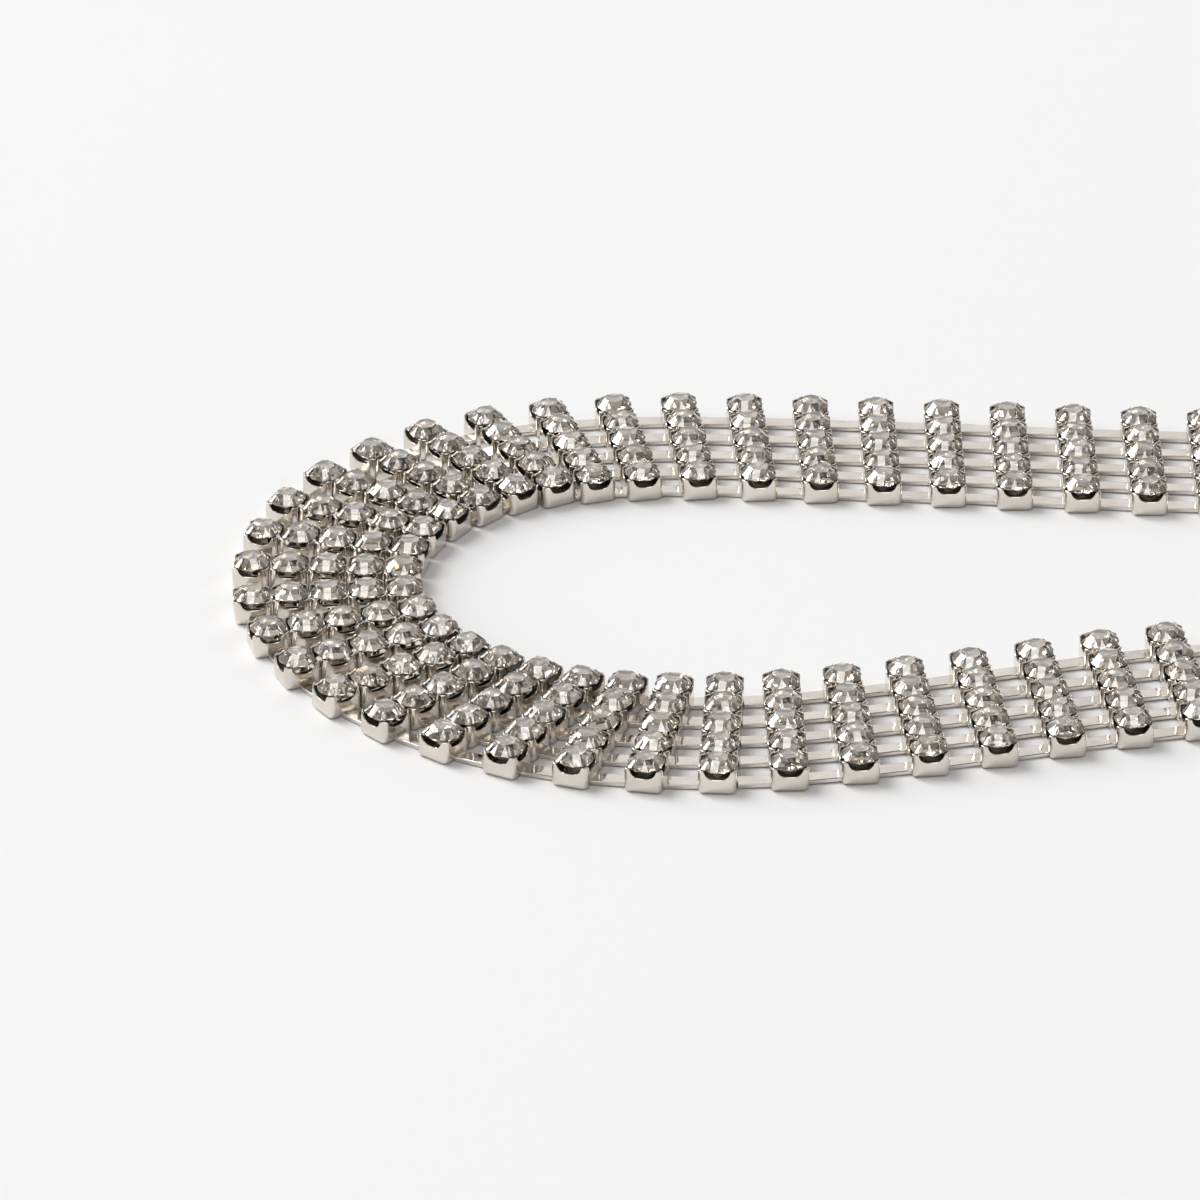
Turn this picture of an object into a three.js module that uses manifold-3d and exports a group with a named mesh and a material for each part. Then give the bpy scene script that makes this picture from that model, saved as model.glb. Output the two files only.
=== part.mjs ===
// Five-row crystal choker lying flat in a closed loop, stones up.
// Millimetres, +Z up. The base of every cup stands on z = 0.

import * as THREE from 'three';
import { ConvexGeometry } from 'three/addons/geometries/ConvexGeometry.js';
import { mergeVertices } from 'three/addons/utils/BufferGeometryUtils.js';
import Module from 'manifold-3d';

// Cups and stones

const rowCount = 5;
const rowPitch = 3.0; // from one cup to the next along a bar
const cupWidth = 2.9;
const cupHeight = 2.0; // base to the stone's girdle
const cupBaseChamfer = 0.45; // slope under both long sides of a bar
const stoneDiameter = 2.8;
const stoneTableDiameter = 1.55;
const stoneCrownHeight = 0.68; // girdle to table
const stoneFacets = 8;

// Ribbon links

const linkPitch = 5.4; // from bar to bar along the outer row, fully drawn out
const linkWidth = 1.3;
const linkThickness = 0.36;
const linkLift = 0.05; // underside above the base plane
const linkShortest = 0.35; // a link with less than this in sight stays inside its cups

// Clasp

const claspWidth = 9;
const claspHeight = 1.8;
const claspClearance = 0.3;
const claspPull = 0.36; // how far the sides bow, as a share of the clasp's span
const claspSegments = 12;

// Where the band is made in two lengths: bars in the front length, and the clearance to the other

const frontBarCount = 17;
const lengthClearance = 0.3;

// Route of the outer row, from the front clasp end round the bend to the back clasp end.
// Columns: x, y, and the heading in degrees from the inner row to the outer row.

const route = [
  [97.6, -9.3, -50],
  [87.6, -15.0, -64],
  [76.8, -17.6, -76],
  [61.1, -19.0, -80],
  [45.2, -20.8, -81.5],
  [25.0, -26.0, -83.8],
  [9.1, -28.6, -93],
  [-6.6, -26.4, -117.3],
  [-19.9, -17.4, -145.5],
  [-27.2, -2.9, -173.5],
  [-25.0, 13.2, -203.5],
  [-14.2, 24.9, -231.8],
  [1.0, 29.4, -259],
  [22.8, 28.8, -269.2],
  [44.4, 27.1, -270],
  [60.9, 26.4, -272],
  [77.3, 25.4, -279],
  [88.0, 22.9, -293],
  [96.4, 17.9, -310],
];

const routeSamples = 1200;
const overlap = 0.1; // how far joined pieces run into each other

const silver = { color: 0xc9c4bd, roughness: 0.18, metalness: 1.0 };
const claspSilver = { color: 0xc4c0ba, roughness: 0.25, metalness: 1.0 };

// Solids

const wasm = await Module();
wasm.setup();

function toSolid(geometry, matrix) {
  const bare = geometry.clone().applyMatrix4(matrix);
  bare.deleteAttribute('normal');
  bare.deleteAttribute('uv');
  const merged = mergeVertices(bare, 1e-5);
  return new wasm.Manifold(new wasm.Mesh({
    numProp: 3,
    vertProperties: new Float32Array(merged.attributes.position.array),
    triVerts: new Uint32Array(merged.index.array),
  }));
}

function toGeometry(solid) {
  const mesh = solid.getMesh();
  const geometry = new THREE.BufferGeometry();
  geometry.setAttribute('position', new THREE.BufferAttribute(mesh.vertProperties, 3));
  geometry.setIndex(new THREE.BufferAttribute(mesh.triVerts, 1));
  return geometry;
}

function joinAll(solids) {
  if (solids.length === 1) return solids[0];
  const middle = Math.floor(solids.length / 2);
  return joinAll(solids.slice(0, middle)).add(joinAll(solids.slice(middle)));
}

// Bars along the route

function headingVector(degrees) {
  const angle = THREE.MathUtils.degToRad(degrees);
  return new THREE.Vector3(Math.cos(angle), Math.sin(angle), 0);
}

function placeBars() {
  const line = new THREE.CatmullRomCurve3(
    route.map(([x, y]) => new THREE.Vector3(x, y, 0)), false, 'catmullrom', 0.5);
  const turn = new THREE.CatmullRomCurve3(
    route.map(([, , heading]) => new THREE.Vector3(heading, 0, 0)), false, 'catmullrom', 0.5);
  line.arcLengthDivisions = routeSamples;
  const gapCount = Math.round(line.getLength() / linkPitch);
  const bars = [];
  for (let index = 0; index <= gapCount; index += 1) {
    const t = line.getUtoTmapping(index / gapCount);
    const outer = line.getPoint(t);
    const outward = headingVector(turn.getPoint(t).x);
    const centre = outer.clone().addScaledVector(outward, -rowPitch * (rowCount - 1) / 2);
    bars.push({ centre, outward, heading: turn.getPoint(t).x });
  }
  return bars;
}

function cupCentre(bar, row) {
  const offset = (row - (rowCount - 1) / 2) * rowPitch;
  return bar.centre.clone().addScaledVector(bar.outward, offset);
}

const barLength = (rowCount - 1) * rowPitch + cupWidth;

// One bar: its cups side by side, sloped in to the base along both long sides

function barSolid(bar) {
  const half = cupWidth / 2;
  const profile = new THREE.Shape();
  profile.moveTo(-half + cupBaseChamfer, 0);
  profile.lineTo(half - cupBaseChamfer, 0);
  profile.lineTo(half, cupBaseChamfer);
  profile.lineTo(half, cupHeight);
  profile.lineTo(-half, cupHeight);
  profile.lineTo(-half, cupBaseChamfer);
  profile.closePath();
  const body = new THREE.ExtrudeGeometry(profile, { depth: barLength, bevelEnabled: false });
  const place = new THREE.Matrix4().makeTranslation(bar.centre.x, bar.centre.y, 0);
  place.multiply(new THREE.Matrix4().makeRotationZ(THREE.MathUtils.degToRad(bar.heading - 90)));
  place.multiply(new THREE.Matrix4().makeRotationX(Math.PI / 2));
  place.multiply(new THREE.Matrix4().makeTranslation(0, 0, -barLength / 2));
  return toSolid(body, place);
}

// One crown: a table and its facets over a short root inside the cup

function stoneSolid(bar, row) {
  const tableRadius = stoneTableDiameter / 2;
  const girdleRadius = stoneDiameter / 2;
  const ring = (radius, height) => Array.from({ length: stoneFacets }, (_, index) => {
    const angle = (index + 0.5) * 2 * Math.PI / stoneFacets;
    return new THREE.Vector3(radius * Math.cos(angle), radius * Math.sin(angle), height);
  });
  const crown = new ConvexGeometry([
    ...ring(girdleRadius, cupHeight - overlap),
    ...ring(girdleRadius, cupHeight),
    ...ring(tableRadius, cupHeight + stoneCrownHeight),
  ]);
  const centre = cupCentre(bar, row);
  const place = new THREE.Matrix4().makeTranslation(centre.x, centre.y, 0);
  place.multiply(new THREE.Matrix4().makeRotationZ(THREE.MathUtils.degToRad(bar.heading)));
  return toSolid(crown, place);
}

// One ribbon between neighbouring cups of a row

function linkSolid(start, end) {
  const along = end.clone().sub(start);
  const ribbon = new THREE.BoxGeometry(along.length(), linkWidth, linkThickness);
  const middle = start.clone().add(end).multiplyScalar(0.5);
  const place = new THREE.Matrix4().makeTranslation(middle.x, middle.y, linkLift + linkThickness / 2);
  place.multiply(new THREE.Matrix4().makeRotationZ(Math.atan2(along.y, along.x)));
  return toSolid(ribbon, place);
}

const linkRoot = cupWidth / 2 - cupBaseChamfer - overlap; // where a ribbon starts inside its cup

function linksBetween(bar, next) {
  const links = [];
  for (let row = 0; row < rowCount; row += 1) {
    const from = cupCentre(bar, row);
    const to = cupCentre(next, row);
    const along = to.clone().sub(from);
    if (along.length() - cupWidth > linkShortest) {
      along.setLength(linkRoot);
      links.push(linkSolid(from.add(along), to.sub(along)));
    }
  }
  return links;
}

function bandLength(bars) {
  const solids = [];
  bars.forEach((bar, index) => {
    solids.push(barSolid(bar));
    for (let row = 0; row < rowCount; row += 1) solids.push(stoneSolid(bar, row));
    if (index > 0) solids.push(...linksBetween(bars[index - 1], bar));
  });
  return solids;
}

// Ribbons at the seam belong to the front length and stop short of the next bar

function seamLinks(bar, next) {
  const links = [];
  for (let row = 0; row < rowCount; row += 1) {
    const from = cupCentre(bar, row);
    const along = cupCentre(next, row).sub(from);
    const reach = along.length() - cupWidth / 2 - lengthClearance;
    along.normalize();
    const root = from.clone().addScaledVector(along, linkRoot);
    links.push(linkSolid(root, from.clone().addScaledVector(along, reach)));
  }
  return links;
}

// Clasp: one plain plate from the last bar of the front to the last bar of the back

function claspGeometry(frontBar, backBar) {
  const frontAhead = new THREE.Vector3(-frontBar.outward.y, frontBar.outward.x, 0);
  const backAhead = new THREE.Vector3(backBar.outward.y, -backBar.outward.x, 0);
  const corner = (bar, ahead, side) => bar.centre.clone()
    .addScaledVector(ahead, cupWidth / 2 + claspClearance)
    .addScaledVector(bar.outward, side * claspWidth / 2);
  const plate = new THREE.Shape();
  const curveTo = (from, fromAhead, to, toAhead) => {
    const pull = from.distanceTo(to) * claspPull;
    const first = from.clone().addScaledVector(fromAhead, pull);
    const second = to.clone().addScaledVector(toAhead, pull);
    plate.bezierCurveTo(first.x, first.y, second.x, second.y, to.x, to.y);
  };
  const frontOuter = corner(frontBar, frontAhead, 1);
  const frontInner = corner(frontBar, frontAhead, -1);
  const backOuter = corner(backBar, backAhead, 1);
  const backInner = corner(backBar, backAhead, -1);
  plate.moveTo(frontOuter.x, frontOuter.y);
  curveTo(frontOuter, frontAhead, backOuter, backAhead);
  plate.lineTo(backInner.x, backInner.y);
  curveTo(backInner, backAhead, frontInner, frontAhead);
  return new THREE.ExtrudeGeometry(plate, {
    depth: claspHeight, bevelEnabled: false, curveSegments: claspSegments,
  });
}

// Assembly

function namedMesh(name, geometry, finish) {
  const mesh = new THREE.Mesh(geometry, new THREE.MeshStandardMaterial(finish));
  mesh.name = name;
  return mesh;
}

const bars = placeBars();
const frontBars = bars.slice(0, frontBarCount);
const backBars = bars.slice(frontBarCount);
const frontSolids = bandLength(frontBars).concat(seamLinks(frontBars.at(-1), backBars[0]));

const choker = new THREE.Group();
choker.add(namedMesh('band_front', toGeometry(joinAll(frontSolids)), silver));
choker.add(namedMesh('band_back', toGeometry(joinAll(bandLength(backBars))), silver));
choker.add(namedMesh('clasp', claspGeometry(bars[0], bars.at(-1)), claspSilver));

// The origin is the middle of the base

const middle = new THREE.Box3().setFromObject(choker).getCenter(new THREE.Vector3());
choker.position.set(-middle.x, -middle.y, 0);

export default choker;
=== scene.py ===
# The choker as the photograph shows it: cup-set crystals, ribbon links and a plain clasp.
# Sizes are in millimetres up to the meshes, which are in metres.

import math
import random

import bmesh
import bpy
import numpy as np
from mathutils import Matrix, Vector


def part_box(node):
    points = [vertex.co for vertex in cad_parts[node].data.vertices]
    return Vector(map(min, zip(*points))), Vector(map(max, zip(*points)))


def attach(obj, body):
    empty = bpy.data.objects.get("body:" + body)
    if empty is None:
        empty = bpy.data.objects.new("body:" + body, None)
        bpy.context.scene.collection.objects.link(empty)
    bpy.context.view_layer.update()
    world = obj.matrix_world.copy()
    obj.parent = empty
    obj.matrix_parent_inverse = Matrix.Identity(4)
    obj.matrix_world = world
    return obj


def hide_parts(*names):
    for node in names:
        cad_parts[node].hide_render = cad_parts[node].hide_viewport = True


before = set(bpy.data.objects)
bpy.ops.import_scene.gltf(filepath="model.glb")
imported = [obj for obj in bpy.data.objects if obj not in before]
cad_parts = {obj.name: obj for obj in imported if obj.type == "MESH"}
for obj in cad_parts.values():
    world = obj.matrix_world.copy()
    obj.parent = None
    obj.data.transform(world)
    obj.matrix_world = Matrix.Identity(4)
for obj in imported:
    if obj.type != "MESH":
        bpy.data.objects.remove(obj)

random.seed(20)
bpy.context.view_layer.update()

MM = 0.001

# Band, as in the solids

ROWS = 5
ROW_PITCH = 3.0             # from one cup to the next along a bar
BAR_SPAN = ROW_PITCH * (ROWS - 1)
CUP = 2.9
LINK_PITCH = 5.4            # from bar to bar along the outer row
LINK_WIDTH = 1.3
LINK_THICK = 0.36
LINK_LIFT = 0.05
LINK_SHORTEST = 0.35        # a link with less than this in sight stays inside its cups
FRONT_BARS = 17
ROUTE_SAMPLES = 1200

# Columns: x, y, and the heading in degrees from the inner row to the outer row
ROUTE = [
    (97.6, -9.3, -50), (87.6, -15.0, -64), (76.8, -17.6, -76), (61.1, -19.0, -80),
    (45.2, -20.8, -81.5), (25.0, -26.0, -83.8), (9.1, -28.6, -93), (-6.6, -26.4, -117.3),
    (-19.9, -17.4, -145.5), (-27.2, -2.9, -173.5), (-25.0, 13.2, -203.5),
    (-14.2, 24.9, -231.8), (1.0, 29.4, -259), (22.8, 28.8, -269.2), (44.4, 27.1, -270),
    (60.9, 26.4, -272), (77.3, 25.4, -279), (88.0, 22.9, -293), (96.4, 17.9, -310),
]

# Cups

CORNER = 0.42               # rounding of the upright corners
CORNER_STEPS = 4
FOOT = 0.40                 # rounding under a cup
FOOT_STEPS = 3
FOOT_CORNER_LOSS = 0.6      # how much of the foot's inset comes off the corners' rounding
FOOT_CORNER = 0.05          # the least rounding that the corners keep there
WALL = 0.14
RIM = 1.98
RIM_ROUND = 0.03
INSIDE_FLOOR = 0.35
DIP_DEPTH = 0.66
DIP_HALF = 1.02             # half width of a dip at the rim
LEAN_FROM = 1.35            # above this height the corners draw in towards the stone
LEAN_RADIUS = 1.80          # how far from the stone's axis they end
LEAN_CURVE = 1.8            # above 1, they draw in more and more on the way up
LEAN_STEPS = (0.35, 0.7)    # rings on the way from that height to the rim

# Half of a dip, from its corner to its middle: share of the half width, share of the depth
HALF_DIP = [
    (1.0, 0.0), (0.95, 0.14), (0.87, 0.42), (0.75, 0.70), (0.58, 0.90), (0.34, 0.98), (0.0, 1.0),
]
WHOLE_DIP = [(-across, down) for across, down in HALF_DIP] + HALF_DIP[-2::-1]

# Prongs

# Columns: distance from the stone's axis, height, half width, and how far the sides fold back
PRONG = [
    (1.77, 1.60, 0.22, 0.04), (1.75, 1.84, 0.22, 0.04), (1.71, 1.96, 0.22, 0.03),
    (1.62, 2.05, 0.22, 0.02), (1.49, 2.11, 0.22, 0.01), (1.37, 2.19, 0.22, 0.0),
    (1.23, 2.33, 0.215, 0.0), (1.11, 2.45, 0.16, 0.0), (1.04, 2.51, 0.06, 0.0),
]
PRONG_THICK = 0.10

# Round a prong's section: share of the half width, share of the thickness
PRONG_SECTION = [(-1, -0.3), (-0.7, 0.0), (0.7, 0.0), (1, -0.3), (0.7, -1.0), (-0.7, -1.0)]

# Stones, a little larger across than in the solids, because they overhang the cups' walls

STONE = 2.86
FACETS = 8
TABLE = 1.56                # across its corners
CROWN = 0.658               # from the girdle to the table
GIRDLE = 1.96               # height of the girdle, about which a stone leans
GIRDLE_ABOVE = 0.03         # how far its edge reaches up
GIRDLE_BELOW = 0.09         # and down
PAVILION_SLOPE = 40         # in degrees
TILT = 3.2                  # the most a stone leans, in degrees

# Ribbons, and the webs that join the cups of a bar

LINK_INSIDE = 0.15          # how far a ribbon runs on into the cup, past the foot's rounding
LINK_ROOT = CUP / 2 - FOOT - LINK_INSIDE
LINK_ROLL = 2.5             # the most a ribbon is turned about its length, in degrees
SEAM_GAP = 0.02             # the ribbons at the seam end just short of the next cup
STRIP_ROUND = 0.07
STRIP_CORNER_POINTS = 4
WEB_WIDTH = 1.7
WEB_THICK = 1.1
WEB_LIFT = 0.12

# Clasp

CLASP_WIDTH = 9.0
CLASP_HEIGHT = 1.8
CLASP_GAP = 0.3
# How far the sides bow, as a share of the clasp's span: a little less than in the solids, so that the
# finer curve stays inside their box
CLASP_PULL = 0.358
CLASP_STEPS = 28
CLASP_BEVEL = 0.3
CLASP_BEVEL_STEPS = 4
BEVEL_FROM = 50             # edges that fold by more than this, in degrees, are rounded

# Shading

SHARP_FROM = 40             # edges that fold by more than this, in degrees, stay sharp
NORMAL_WEIGHT = 80

# Material slots of the cups and of the stones

OUTSIDE, PRONG_METAL, INSIDE = 0, 1, 2
GLASS, FOIL = 0, 1


# Bars along the route

def catmull(points, t):
    """A point of the smooth curve through the given points, at the share t of the way."""
    spans = len(points) - 1
    place = min(max(t, 0.0), 1.0) * spans
    first = min(int(place), spans - 1)
    w = place - first
    p1 = points[first]
    p2 = points[first + 1]
    p0 = points[first - 1] if first > 0 else 2 * p1 - p2
    p3 = points[first + 2] if first + 2 <= spans else 2 * p2 - p1
    m1 = 0.5 * (p2 - p0)
    m2 = 0.5 * (p3 - p1)
    return (p1 + m1 * w + (-3 * p1 + 3 * p2 - 2 * m1 - m2) * w * w
            + (2 * p1 - 2 * p2 + m1 + m2) * w * w * w)


class Bar:
    """A bar of cups: its middle, the way to its outer end, and the way on along the band."""

    def __init__(self, outer, heading):
        self.heading = math.radians(heading)
        self.outward = np.array([math.cos(self.heading), math.sin(self.heading)])
        self.ahead = np.array([-math.sin(self.heading), math.cos(self.heading)])
        self.centre = outer - self.outward * BAR_SPAN / 2

    def cup(self, row):
        return self.centre + self.outward * (row * ROW_PITCH - BAR_SPAN / 2)


def place_bars():
    """Bars at even steps along the route of their outer cups."""
    route = np.array(ROUTE, float)
    steps = np.linspace(0, 1, ROUTE_SAMPLES + 1)
    line = np.array([catmull(route, t)[:2] for t in steps])
    reach = np.concatenate([[0], np.cumsum(np.hypot(*np.diff(line, axis=0).T))])
    gaps = round(reach[-1] / LINK_PITCH)
    bars = []
    for index in range(gaps + 1):
        x, y, heading = catmull(route, np.interp(index / gaps * reach[-1], reach, steps))
        bars.append(Bar(np.array([x, y]), heading))
    return bars


def shift_to_frame(bars):
    """Moves the bars from the route's own origin to the part's, and says by how much."""
    half_length = (BAR_SPAN + CUP) / 2
    ends = np.array([
        bar.centre + bar.outward * half_length * a + bar.ahead * CUP / 2 * b
        for bar in bars[FRONT_BARS:] for a in (-1, 1) for b in (-1, 1)])
    low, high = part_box("band_back")
    shift = np.array([low.x / MM - ends[:, 0].min(), high.y / MM - ends[:, 1].max()])
    for bar in bars:
        bar.centre = bar.centre + shift
    return shift


bars = place_bars()
origin = shift_to_frame(bars)


# Meshes gathered from many small forms

def add_to_scene(name, data):
    thing = bpy.data.objects.new(name, data)
    bpy.context.scene.collection.objects.link(thing)
    return thing


def weigh_normals(piece):
    """Large faces keep their own normal, so only the small roundings shade smoothly."""
    modifier = piece.modifiers.new("weighted", "WEIGHTED_NORMAL")
    modifier.keep_sharp = True
    modifier.weight = NORMAL_WEIGHT
    graph = bpy.context.evaluated_depsgraph_get()
    finished = bpy.data.meshes.new_from_object(piece.evaluated_get(graph))
    piece.modifiers.clear()
    plain = piece.data
    piece.data = finished
    name = plain.name
    bpy.data.meshes.remove(plain)
    finished.name = name


def shade_roundings(piece):
    piece.data.shade_smooth()
    piece.data.set_sharp_from_angle(angle=math.radians(SHARP_FROM))
    weigh_normals(piece)


class Gathered:
    """A mesh in the making. Each form that it takes is its points, its faces and a slot for each face."""

    def __init__(self):
        self.points = []
        self.faces = []
        self.slots = []
        self.count = 0

    def add(self, form, turn, offset):
        points, faces, slots = form
        self.points.append(points @ turn.T + offset)
        self.faces.extend([[i + self.count for i in face] for face in faces])
        self.slots.extend(slots)
        self.count += len(points)

    def build(self, name, materials):
        mesh = bpy.data.meshes.new(name)
        points = np.concatenate(self.points) * MM
        mesh.from_pydata(points.tolist(), [], self.faces)
        mesh.polygons.foreach_set("material_index", self.slots)
        for material in materials:
            mesh.materials.append(material)
        return add_to_scene(name, mesh)


def turn_about_z(angle):
    c, s = math.cos(angle), math.sin(angle)
    return np.array([[c, -s, 0], [s, c, 0], [0, 0, 1.0]])


def tube_faces(rings, around):
    """The faces between rings of points that follow one another."""
    faces = []
    for level in range(rings - 1):
        a = level * around
        b = a + around
        for i in range(around):
            j = (i + 1) % around
            faces.append([a + i, a + j, b + j, b + i])
    return faces


def closed_tube_faces(rings, around):
    """Those faces, and one over each end."""
    last = (rings - 1) * around
    near_end = list(range(around))[::-1]
    far_end = [last + i for i in range(around)]
    return tube_faces(rings, around) + [near_end, far_end]


# One cup: rounded foot, upright walls whose rims dip between the corners

def cup_ring(inset, corner):
    """Points round a cup in plan, with stops along each side for its dip."""
    half = CUP / 2 - inset
    middle = half - corner
    side = [(half, across * DIP_HALF) for across, _ in WHOLE_DIP]
    for step in range(CORNER_STEPS + 1):
        a = step / CORNER_STEPS * math.pi / 2
        side.append((middle + corner * math.cos(a), middle + corner * math.sin(a)))
    return np.concatenate([np.array(side) @ turn_about_z(k * math.pi / 2)[:2, :2].T for k in range(4)])


def cup_form():
    side_dip = [down * DIP_DEPTH for _, down in WHOLE_DIP] + [0.0] * (CORNER_STEPS + 1)
    dip = np.tile(side_dip, 4)
    around = len(dip)
    rings = []

    def ring(inset, corner, height):
        flat = cup_ring(inset, corner)
        z = np.broadcast_to(height, (around,))
        share = np.clip((z - LEAN_FROM) / (RIM - LEAN_FROM), 0, 1) ** LEAN_CURVE
        drawn = 1 + share * (np.minimum((LEAN_RADIUS - inset) / np.hypot(*flat.T), 1) - 1)
        rings.append(np.column_stack([flat * drawn[:, None], z]))

    for step in range(FOOT_STEPS + 1):
        a = step / FOOT_STEPS * math.pi / 2
        inset = FOOT * (1 - math.sin(a))
        ring(inset, max(CORNER - inset * FOOT_CORNER_LOSS, FOOT_CORNER), FOOT * (1 - math.cos(a)))
    for share in LEAN_STEPS:
        ring(0, CORNER, LEAN_FROM + (RIM - LEAN_FROM) * share - dip)
    ring(0, CORNER, RIM - RIM_ROUND - dip)
    ring(RIM_ROUND, CORNER - RIM_ROUND, RIM - dip)
    ring(WALL - RIM_ROUND, CORNER - WALL + RIM_ROUND, RIM - dip)
    ring(WALL, CORNER - WALL, RIM - RIM_ROUND - dip)
    ring(WALL, CORNER - WALL, INSIDE_FLOOR)

    faces = tube_faces(len(rings), around)
    # The inner faces take the darker metal, which paints the shade inside a cup
    inner_faces = 2 * around
    slots = [OUTSIDE] * (len(faces) - inner_faces) + [INSIDE] * inner_faces
    # Fans close both ends: one face with so many points in line would be cut into slivers
    last = (len(rings) - 1) * around
    base_middle = last + around
    floor_middle = base_middle + 1
    for i in range(around):
        j = (i + 1) % around
        faces += [[base_middle, j, i], [floor_middle, last + i, last + j]]
        slots += [OUTSIDE, INSIDE]
    middles = np.array([[0, 0, 0], [0, 0, INSIDE_FLOOR]])
    return np.concatenate(rings + [middles]), faces, slots


# One prong: a cup's corner wall drawn up, then folded over the crown as a tab

def prong_form(angle):
    path = np.array(PRONG)
    points = []
    for index, (r, z, half, fold) in enumerate(path):
        before = path[max(index - 1, 0)]
        after = path[min(index + 1, len(path) - 1)]
        along = after[:2] - before[:2]
        along = along / np.hypot(*along)
        out = np.array([along[1], -along[0]])
        for side, lift in PRONG_SECTION:
            thick = PRONG_THICK * lift
            points.append((r + out[0] * thick - fold * abs(side), side * half, z + out[1] * thick))
    faces = closed_tube_faces(len(path), len(PRONG_SECTION))
    return np.array(points) @ turn_about_z(angle).T, faces, [PRONG_METAL] * len(faces)


# One stone: a table, eight wide and eight pointed facets down to the girdle, foiled kites below

def ring_at(radius, height, count, start=0.0):
    angles = [start + k * 2 * math.pi / count for k in range(count)]
    return [(radius * math.cos(a), radius * math.sin(a), height) for a in angles]


def faces_inward(points, face):
    a, b, c = [np.array(points[i]) for i in face[:3]]
    middle = sum(np.array(points[i]) for i in face) / len(face)
    return np.dot(np.cross(b - a, c - a), middle - np.array([0, 0, GIRDLE])) < 0


def stone_form():
    around = 2 * FACETS
    radius = STONE / 2
    turned = math.pi / around
    under = GIRDLE - GIRDLE_BELOW
    culet = under - math.tan(math.radians(PAVILION_SLOPE)) * radius
    on_chord = math.cos(math.pi / FACETS)
    crown = ring_at(TABLE / 2, GIRDLE + CROWN, FACETS)
    crown += ring_at(radius, GIRDLE + GIRDLE_ABOVE, around, turned)
    # Every second point of the lower ring lies between its neighbours, so each kite is flat
    below = [(x * on_chord, y * on_chord, z) if k % 2 else (x, y, z)
             for k, (x, y, z) in enumerate(ring_at(radius, under, around, turned))]
    points = crown + below + [(0, 0, culet)]

    upper = FACETS
    lower = upper + around
    tip = lower + around
    faces = [list(range(FACETS))]
    for k in range(FACETS):
        first = upper + 2 * k
        before = upper + (2 * k - 1) % around
        faces.append([k, first, first + 1, (k + 1) % FACETS])
        faces.append([k, before, first])
    for k in range(around):
        n = (k + 1) % around
        faces.append([upper + k, lower + k, lower + n, upper + n])
    slots = [GLASS] * len(faces) + [FOIL] * around
    for k in range(around):
        faces.append([tip, lower + k, lower + (k + 1) % around])
    faces = [face[::-1] if faces_inward(points, face) else face for face in faces]
    return np.array(points), faces, slots


# Materials

def new_material(name):
    material = bpy.data.materials.new(name)
    material.use_nodes = True
    tree = material.node_tree
    return material, tree, tree.nodes["Principled BSDF"]


def grey(value):
    return (value, value, value, 1)


def place_in_mm(tree):
    where = tree.nodes.new("ShaderNodeTexCoord")
    scale = tree.nodes.new("ShaderNodeMapping")
    scale.inputs["Scale"].default_value = (1 / MM, 1 / MM, 1 / MM)
    tree.links.new(where.outputs["Object"], scale.inputs["Vector"])
    return scale.outputs["Vector"]


def noise(tree, vector, scale, detail):
    node = tree.nodes.new("ShaderNodeTexNoise")
    node.inputs["Scale"].default_value = scale
    node.inputs["Detail"].default_value = detail
    tree.links.new(vector, node.inputs["Vector"])
    return node.outputs["Fac"]


def ramp(tree, value, stops):
    node = tree.nodes.new("ShaderNodeValToRGB")
    elements = node.color_ramp.elements
    elements[0].position, elements[0].color = stops[0]
    elements[1].position, elements[1].color = stops[-1]
    for position, colour in stops[1:-1]:
        elements.new(position).color = colour
    tree.links.new(value, node.inputs["Fac"])
    return node.outputs["Color"]


def map_range(tree, value, given, wanted=(0.0, 1.0)):
    node = tree.nodes.new("ShaderNodeMapRange")
    node.inputs["From Min"].default_value = given[0]
    node.inputs["From Max"].default_value = given[1]
    node.inputs["To Min"].default_value = wanted[0]
    node.inputs["To Max"].default_value = wanted[1]
    tree.links.new(value, node.inputs["Value"])
    return node.outputs["Result"]


def bump(tree, shader, height, strength, distance):
    node = tree.nodes.new("ShaderNodeBump")
    node.inputs["Strength"].default_value = strength
    node.inputs["Distance"].default_value = distance
    tree.links.new(height, node.inputs["Height"])
    tree.links.new(node.outputs["Normal"], shader.inputs["Normal"])


def metal(name, dark, light, rough, grain, ripple):
    """Plated metal: its tint and its polish vary in patches, and its surface ripples a little."""
    material, tree, shader = new_material(name)
    place = place_in_mm(tree)
    tint = ramp(tree, noise(tree, place, scale=0.35, detail=3), [(0.35, dark), (0.65, light)])
    polish = ramp(tree, noise(tree, place, scale=1.7, detail=4), [
        (0.3, grey(rough[0])),
        (0.7, grey(rough[1])),
    ])
    shader.inputs["Metallic"].default_value = 1.0
    tree.links.new(tint, shader.inputs["Base Color"])
    tree.links.new(polish, shader.inputs["Roughness"])
    bump(tree, shader, noise(tree, place, scale=grain, detail=2), strength=0.35, distance=ripple * MM)
    return material


def paint_shade_by_height(material, stops):
    """Multiplies a metal's tint by a colour that changes with the height in millimetres, to paint shade."""
    tree = material.node_tree
    shader = tree.nodes["Principled BSDF"]
    tint = shader.inputs["Base Color"].links[0].from_socket
    split = tree.nodes.new("ShaderNodeSeparateXYZ")
    tree.links.new(place_in_mm(tree), split.inputs["Vector"])
    low, high = stops[0][0], stops[-1][0]
    share = map_range(tree, split.outputs["Z"], (low, high))
    shade = ramp(tree, share, [((z - low) / (high - low), colour) for z, colour in stops])
    mix = tree.nodes.new("ShaderNodeMixRGB")
    mix.blend_type = "MULTIPLY"
    mix.inputs["Fac"].default_value = 1.0
    tree.links.new(tint, mix.inputs["Color1"])
    tree.links.new(shade, mix.inputs["Color2"])
    tree.links.new(mix.outputs["Color"], shader.inputs["Base Color"])


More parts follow.
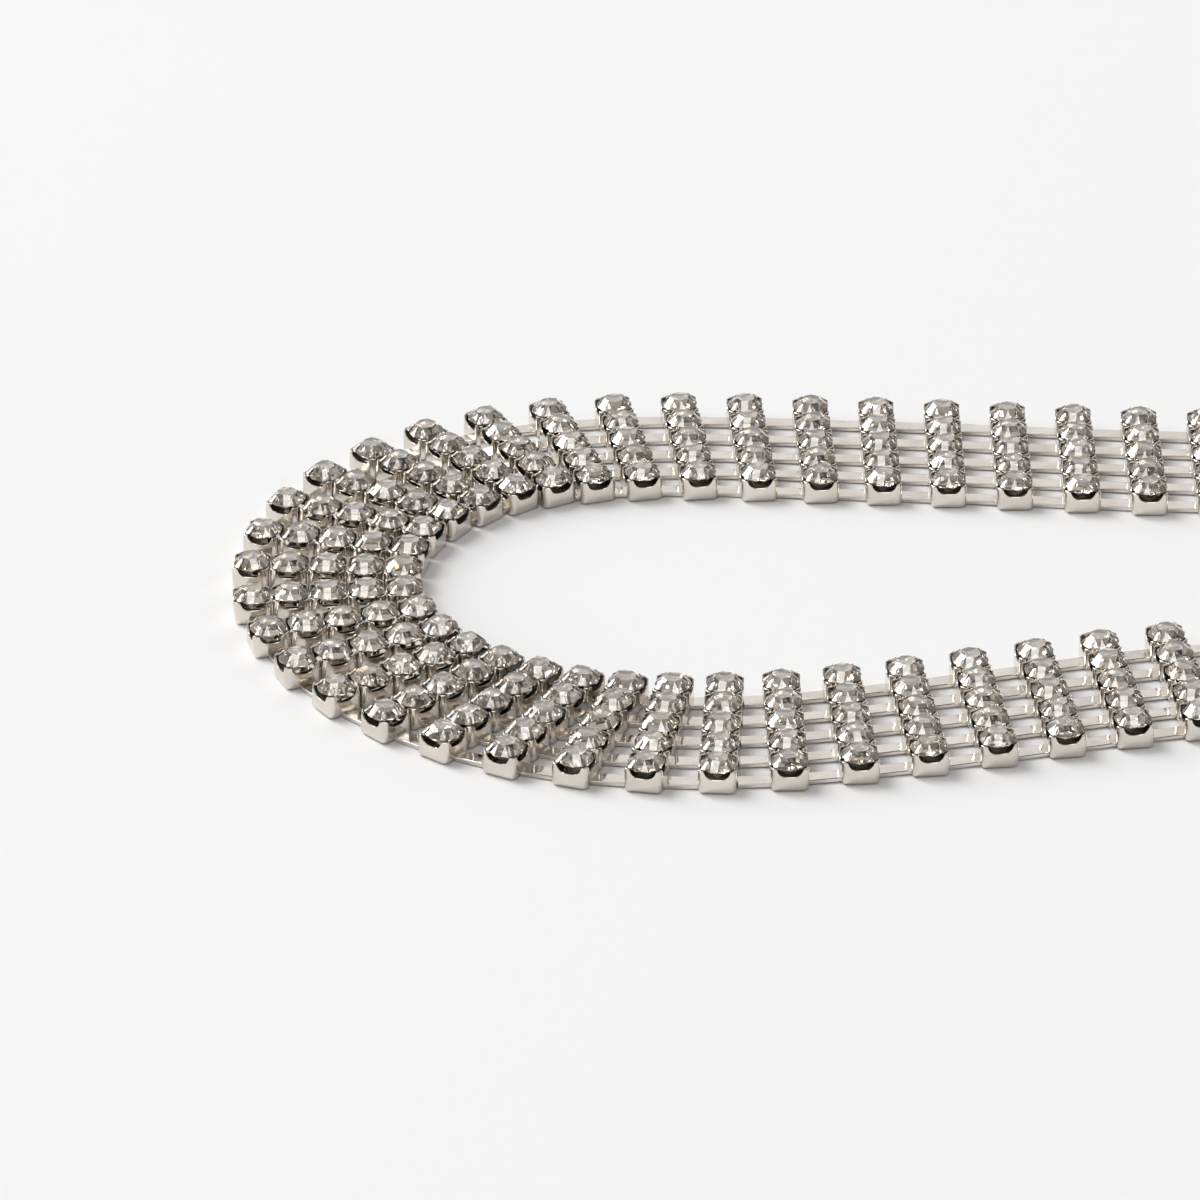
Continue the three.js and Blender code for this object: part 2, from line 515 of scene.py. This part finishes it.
def crystal_glass():
    """Clear glass, with a share of metal for the mirror gleam of its facets."""
    material, tree, shader = new_material("crystal")
    place = place_in_mm(tree)
    tint = ramp(tree, noise(tree, place, scale=0.5, detail=1), [
        (0.35, (0.98, 0.935, 0.885, 1)),
        (0.65, (1.0, 0.97, 0.935, 1)),
    ])
    smear = ramp(tree, noise(tree, place, scale=2.0, detail=3), [(0.4, grey(0.0)), (0.8, grey(0.05))])
    tree.links.new(tint, shader.inputs["Base Color"])
    tree.links.new(smear, shader.inputs["Roughness"])
    shader.inputs["IOR"].default_value = 1.64
    shader.inputs["Transmission Weight"].default_value = 1.0
    shader.inputs["Metallic"].default_value = 0.22
    return material


def foil():
    """The silvered back of a stone, in cells of which a few are tinted yellow, orange or blue as painted
    glints of coloured fire.
    """
    material, tree, shader = new_material("foil")
    place = place_in_mm(tree)
    cells = tree.nodes.new("ShaderNodeTexVoronoi")
    cells.inputs["Scale"].default_value = 1.3
    tree.links.new(place, cells.inputs["Vector"])
    pick = tree.nodes.new("ShaderNodeSeparateColor")
    tree.links.new(cells.outputs["Color"], pick.inputs["Color"])
    # Painted glints: a few cells of the foil are tinted, for the coloured fire that dispersion gives
    tint = ramp(tree, pick.outputs["Red"], [
        (0.0, (0.95, 0.86, 0.62, 1)),
        (0.02, (0.97, 0.93, 0.885, 1)),
        (0.975, (0.86, 0.88, 0.94, 1)),
        (0.985, (0.94, 0.78, 0.62, 1)),
    ])
    tint.node.color_ramp.interpolation = "CONSTANT"
    rough = ramp(tree, noise(tree, place, scale=3.0, detail=2), [(0.4, grey(0.05)), (0.7, grey(0.11))])
    tree.links.new(tint, shader.inputs["Base Color"])
    tree.links.new(rough, shader.inputs["Roughness"])
    shader.inputs["Metallic"].default_value = 1.0
    return material


silver = metal(
    "silver", dark=(0.70, 0.65, 0.585, 1), light=(0.79, 0.74, 0.675, 1),
    rough=(0.10, 0.22), grain=0.9, ripple=0.02)
# Painted shade: the cups' inner walls and floors get a darker copy of the metal, for the shade inside them
shaded_inner_silver = metal(
    "shaded_inner_silver", dark=(0.32, 0.295, 0.265, 1), light=(0.50, 0.465, 0.425, 1),
    rough=(0.25, 0.40), grain=1.2, ripple=0.02)
# Painted shade: the prongs get a darker copy of the cups' metal, for the dull grey that they mirror
shaded_prong_silver = metal(
    "shaded_prong_silver", dark=(0.54, 0.50, 0.45, 1), light=(0.68, 0.635, 0.58, 1),
    rough=(0.24, 0.36), grain=1.6, ripple=0.03)
link_silver = metal(
    "link_silver", dark=(0.67, 0.63, 0.58, 1), light=(0.79, 0.75, 0.70, 1),
    rough=(0.06, 0.16), grain=0.45, ripple=0.22)
clasp_silver = metal(
    "clasp_silver", dark=(0.70, 0.655, 0.60, 1), light=(0.78, 0.735, 0.675, 1),
    rough=(0.16, 0.24), grain=0.5, ripple=0.02)

# Painted shade: the prongs are darkened where they fold over the stone's edge, for the shadow and dark
# reflection in the crease
paint_shade_by_height(shaded_prong_silver, [
    (1.92, (1.0, 1.0, 1.0, 1)),
    (1.98, (0.10, 0.09, 0.08, 1)),
    (2.02, (0.12, 0.11, 0.10, 1)),
    (2.09, (0.85, 0.84, 0.83, 1)),
    (2.5, (1.0, 1.0, 1.0, 1)),
])

crystal = crystal_glass()
foiled = foil()


def finish_piece(piece, node):
    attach(piece, "root")
    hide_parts(node)


# Cups and stones, in three stretches of bars

BEND_END = 35               # the first bar past the bend
STRETCHES = {
    "front": (0, FRONT_BARS),
    "bend": (FRONT_BARS, BEND_END),
    "back": (BEND_END, len(bars)),
}

cup = cup_form()
prongs = [prong_form(math.pi / 4 + k * math.pi / 2) for k in range(4)]
stone = stone_form()


def random_turn():
    """A stone's own turn about its axis, and a slight lean to any side."""
    spin = turn_about_z(random.uniform(0, 2 * math.pi / FACETS))
    lean = (Matrix.Rotation(math.radians(random.uniform(-TILT, TILT)), 3, "X")
            @ Matrix.Rotation(math.radians(random.uniform(-TILT, TILT)), 3, "Y"))
    return np.array(lean) @ spin


def build_cups_and_stones(name, stretch, node):
    cups = Gathered()
    stones = Gathered()
    pivot = np.array([0, 0, GIRDLE])
    for bar in stretch:
        upright = turn_about_z(bar.heading)
        for row in range(ROWS):
            spot = np.array([*bar.cup(row), 0])
            for form in [cup, *prongs]:
                cups.add(form, upright, spot)
            turn = random_turn()
            stones.add(stone, turn, spot + pivot - turn @ pivot)
    cups_piece = cups.build(f"cups_{name}", [silver, shaded_prong_silver, shaded_inner_silver])
    shade_roundings(cups_piece)
    finish_piece(cups_piece, node)
    stones_piece = stones.build(f"stones_{name}", [crystal, foiled])
    stones_piece.data.shade_flat()
    finish_piece(stones_piece, node)


for name, (first, last) in STRETCHES.items():
    build_cups_and_stones(name, bars[first:last], "band_front" if name == "front" else "band_back")


# Ribbon links, and the web that joins the cups of a bar

def strip_form(length, width, height):
    """A flat strip along X, its long edges rounded."""
    half_w = width / 2 - STRIP_ROUND
    half_h = height / 2 - STRIP_ROUND
    section = []
    for corner, (sx, sy) in enumerate([(1, 1), (-1, 1), (-1, -1), (1, -1)]):
        for step in range(STRIP_CORNER_POINTS):
            a = (corner + step / (STRIP_CORNER_POINTS - 1)) * math.pi / 2
            section.append((sx * half_w + STRIP_ROUND * math.cos(a), sy * half_h + STRIP_ROUND * math.sin(a)))
    points = [(x, y, z) for x in (-length / 2, length / 2) for y, z in section]
    faces = closed_tube_faces(2, len(section))
    return np.array(points), faces, [0] * len(faces)


def add_strip(gathered, start, end, width, thick, lift, roll=0.0):
    along = end - start
    middle = (start + end) / 2
    turn = turn_about_z(math.atan2(along[1], along[0])) @ np.array(Matrix.Rotation(roll, 3, "X"))
    form = strip_form(float(np.hypot(*along)), width, thick)
    gathered.add(form, turn, [*middle, lift + thick / 2])


def add_ribbons(links, bar, following, at_seam):
    for row in range(ROWS):
        start = bar.cup(row)
        end = following.cup(row)
        span = float(np.hypot(*(end - start)))
        if span - CUP <= LINK_SHORTEST:
            continue
        along = (end - start) / span
        short_of_end = CUP / 2 + SEAM_GAP if at_seam else LINK_ROOT
        roll = math.radians(random.uniform(-LINK_ROLL, LINK_ROLL))
        add_strip(links, start + along * LINK_ROOT, end - along * short_of_end,
                  LINK_WIDTH, LINK_THICK, LINK_LIFT, roll)


def build_links(name, first, last):
    links = Gathered()
    for index in range(first, last):
        bar = bars[index]
        if index + 1 < len(bars):
            add_ribbons(links, bar, bars[index + 1], at_seam=index + 1 == FRONT_BARS)
        add_strip(links, bar.cup(0), bar.cup(ROWS - 1), WEB_WIDTH, WEB_THICK, WEB_LIFT)
    piece = links.build(f"links_{name}", [link_silver])
    shade_roundings(piece)
    finish_piece(piece, f"band_{name}")


build_links("front", 0, FRONT_BARS)
build_links("back", FRONT_BARS, len(bars))


# Clasp: one plain plate between the last bars, its edges rounded

def bezier(p0, p1, p2, p3):
    """Points from p0 up to, but without, p3."""
    for k in range(CLASP_STEPS):
        t = k / CLASP_STEPS
        u = 1 - t
        yield u ** 3 * p0 + 3 * u * u * t * p1 + 3 * u * t * t * p2 + t ** 3 * p3


def clasp_outline():
    front, back = bars[0], bars[-1]
    front_ahead, back_ahead = front.ahead, -back.ahead

    def corner(bar, ahead, side):
        return bar.centre + ahead * (CUP / 2 + CLASP_GAP) + bar.outward * side * CLASP_WIDTH / 2

    def side_curve(start, start_ahead, end, end_ahead):
        pull = float(np.hypot(*(end - start))) * CLASP_PULL
        return [*bezier(start, start + start_ahead * pull, end + end_ahead * pull, end), end]

    outer = side_curve(corner(front, front_ahead, 1), front_ahead, corner(back, back_ahead, 1), back_ahead)
    inner = side_curve(corner(back, back_ahead, -1), back_ahead, corner(front, front_ahead, -1), front_ahead)
    return outer + inner


def build_clasp():
    form = bmesh.new()
    face = form.faces.new([form.verts.new((x * MM, y * MM, 0)) for x, y in clasp_outline()])
    face.normal_update()
    lifted = bmesh.ops.extrude_face_region(form, geom=[face])
    risen = [v for v in lifted["geom"] if isinstance(v, bmesh.types.BMVert)]
    bmesh.ops.translate(form, verts=risen, vec=(0, 0, CLASP_HEIGHT * MM))
    bmesh.ops.recalc_face_normals(form, faces=form.faces)
    edges = [e for e in form.edges if e.is_manifold and e.calc_face_angle() > math.radians(BEVEL_FROM)]
    bmesh.ops.bevel(form, geom=edges, offset=CLASP_BEVEL * MM, segments=CLASP_BEVEL_STEPS,
                    profile=0.5, affect="EDGES")
    mesh = bpy.data.meshes.new("clasp_plate")
    form.to_mesh(mesh)
    form.free()
    mesh.materials.append(clasp_silver)
    piece = add_to_scene("clasp_plate", mesh)
    shade_roundings(piece)
    finish_piece(piece, "clasp")


build_clasp()


# Floor

def build_floor():
    reach = 3.0             # metres from its middle to its sides
    level = -0.01 * MM
    corners = [(-reach, -reach, level), (reach, -reach, level), (reach, reach, level), (-reach, reach, level)]
    mesh = bpy.data.meshes.new("floor")
    mesh.from_pydata(corners, [], [[0, 1, 2, 3]])
    material, _, shader = new_material("pale_floor")
    shader.inputs["Base Color"].default_value = (0.90, 0.90, 0.905, 1)
    shader.inputs["Roughness"].default_value = 0.8
    shader.inputs["Specular IOR Level"].default_value = 0.2
    mesh.materials.append(material)
    floor = add_to_scene("floor", mesh)


build_floor()


# Light: six soft boxes in a grey room

# Key, spark and wall stand on the left, where the side facets mirror them. The tables and the ribbons
# mirror the one behind, and the foil mirrors the one above through the tables.
# Columns: name, place in metres, width, height, power in watts
SOFT_BOXES = [
    ("key", (-1.7, 0.9, 2.7), 1.6, 1.6, 56),
    ("spark", (-2.6, 1.9, 2.1), 1.1, 1.1, 24),
    ("wall", (-3.0, 0.3, 1.1), 2.2, 1.3, 22),
    ("behind", (0.0, 3.5, 1.95), 5.0, 1.3, 10),
    ("above", (-0.1, -1.4, 3.0), 1.6, 1.4, 14),
    ("side", (2.6, -0.9, 1.5), 1.0, 1.0, 7),
]


def soft_box(name, place, width, height, power):
    data = bpy.data.lights.new(name, "AREA")
    data.shape = "RECTANGLE"
    data.size = width
    data.size_y = height
    data.energy = power
    lamp = add_to_scene(name, data)
    lamp.location = place
    lamp.rotation_euler = Vector(place).to_track_quat("Z", "Y").to_euler()


def build_room():
    """A grey world: lightest low down, on the left and at the back, and darkest overhead."""
    world = bpy.data.worlds.new("studio")
    bpy.context.scene.world = world
    world.use_nodes = True
    tree = world.node_tree
    background = tree.nodes["Background"]
    where = tree.nodes.new("ShaderNodeTexCoord")
    split = tree.nodes.new("ShaderNodeSeparateXYZ")
    tree.links.new(where.outputs["Generated"], split.inputs["Vector"])
    rise = ramp(tree, split.outputs["Z"], [
        (0.0, (0.38, 0.37, 0.36, 1)),
        (0.3, (0.56, 0.55, 0.54, 1)),
        (0.55, (0.44, 0.43, 0.42, 1)),
        (0.8, (0.24, 0.235, 0.23, 1)),
        (1.0, (0.24, 0.235, 0.23, 1)),
    ])
    toward = map_range(tree, split.outputs["Y"], (-0.75, -0.1), (0.75, 1.0))
    across = map_range(tree, split.outputs["X"], (-0.6, 0.8), (1.2, 0.6))
    strength = tree.nodes.new("ShaderNodeMath")
    strength.operation = "MULTIPLY"
    tree.links.new(toward, strength.inputs[0])
    tree.links.new(across, strength.inputs[1])
    tree.links.new(rise, background.inputs["Color"])
    tree.links.new(strength.outputs["Value"], background.inputs["Strength"])


for box in SOFT_BOXES:
    soft_box(*box)
build_room()


# Camera at the photograph's angle, aimed at the route's own origin

PHOTO_PIXELS = 1200
FOCAL_PIXELS = 7000         # focal length, in pixels of the photograph
CAMERA_RISE = 29.24         # in degrees above the floor
CAMERA_DISTANCE = 551.2
SENSOR = 36


def build_camera():
    rise = math.radians(CAMERA_RISE)
    data = bpy.data.cameras.new("camera")
    data.sensor_width = SENSOR
    data.lens = SENSOR * (FOCAL_PIXELS / PHOTO_PIXELS)
    data.clip_start = 0.01
    data.clip_end = 20
    camera = add_to_scene("camera", data)
    away = Vector((0, -math.cos(rise), math.sin(rise)))
    camera.location = Vector((*origin, 0)) * MM + away * CAMERA_DISTANCE * MM
    camera.rotation_euler = (math.pi / 2 - rise, 0, 0)
    bpy.context.scene.camera = camera


build_camera()
bpy.context.scene.view_settings.view_transform = "Standard"
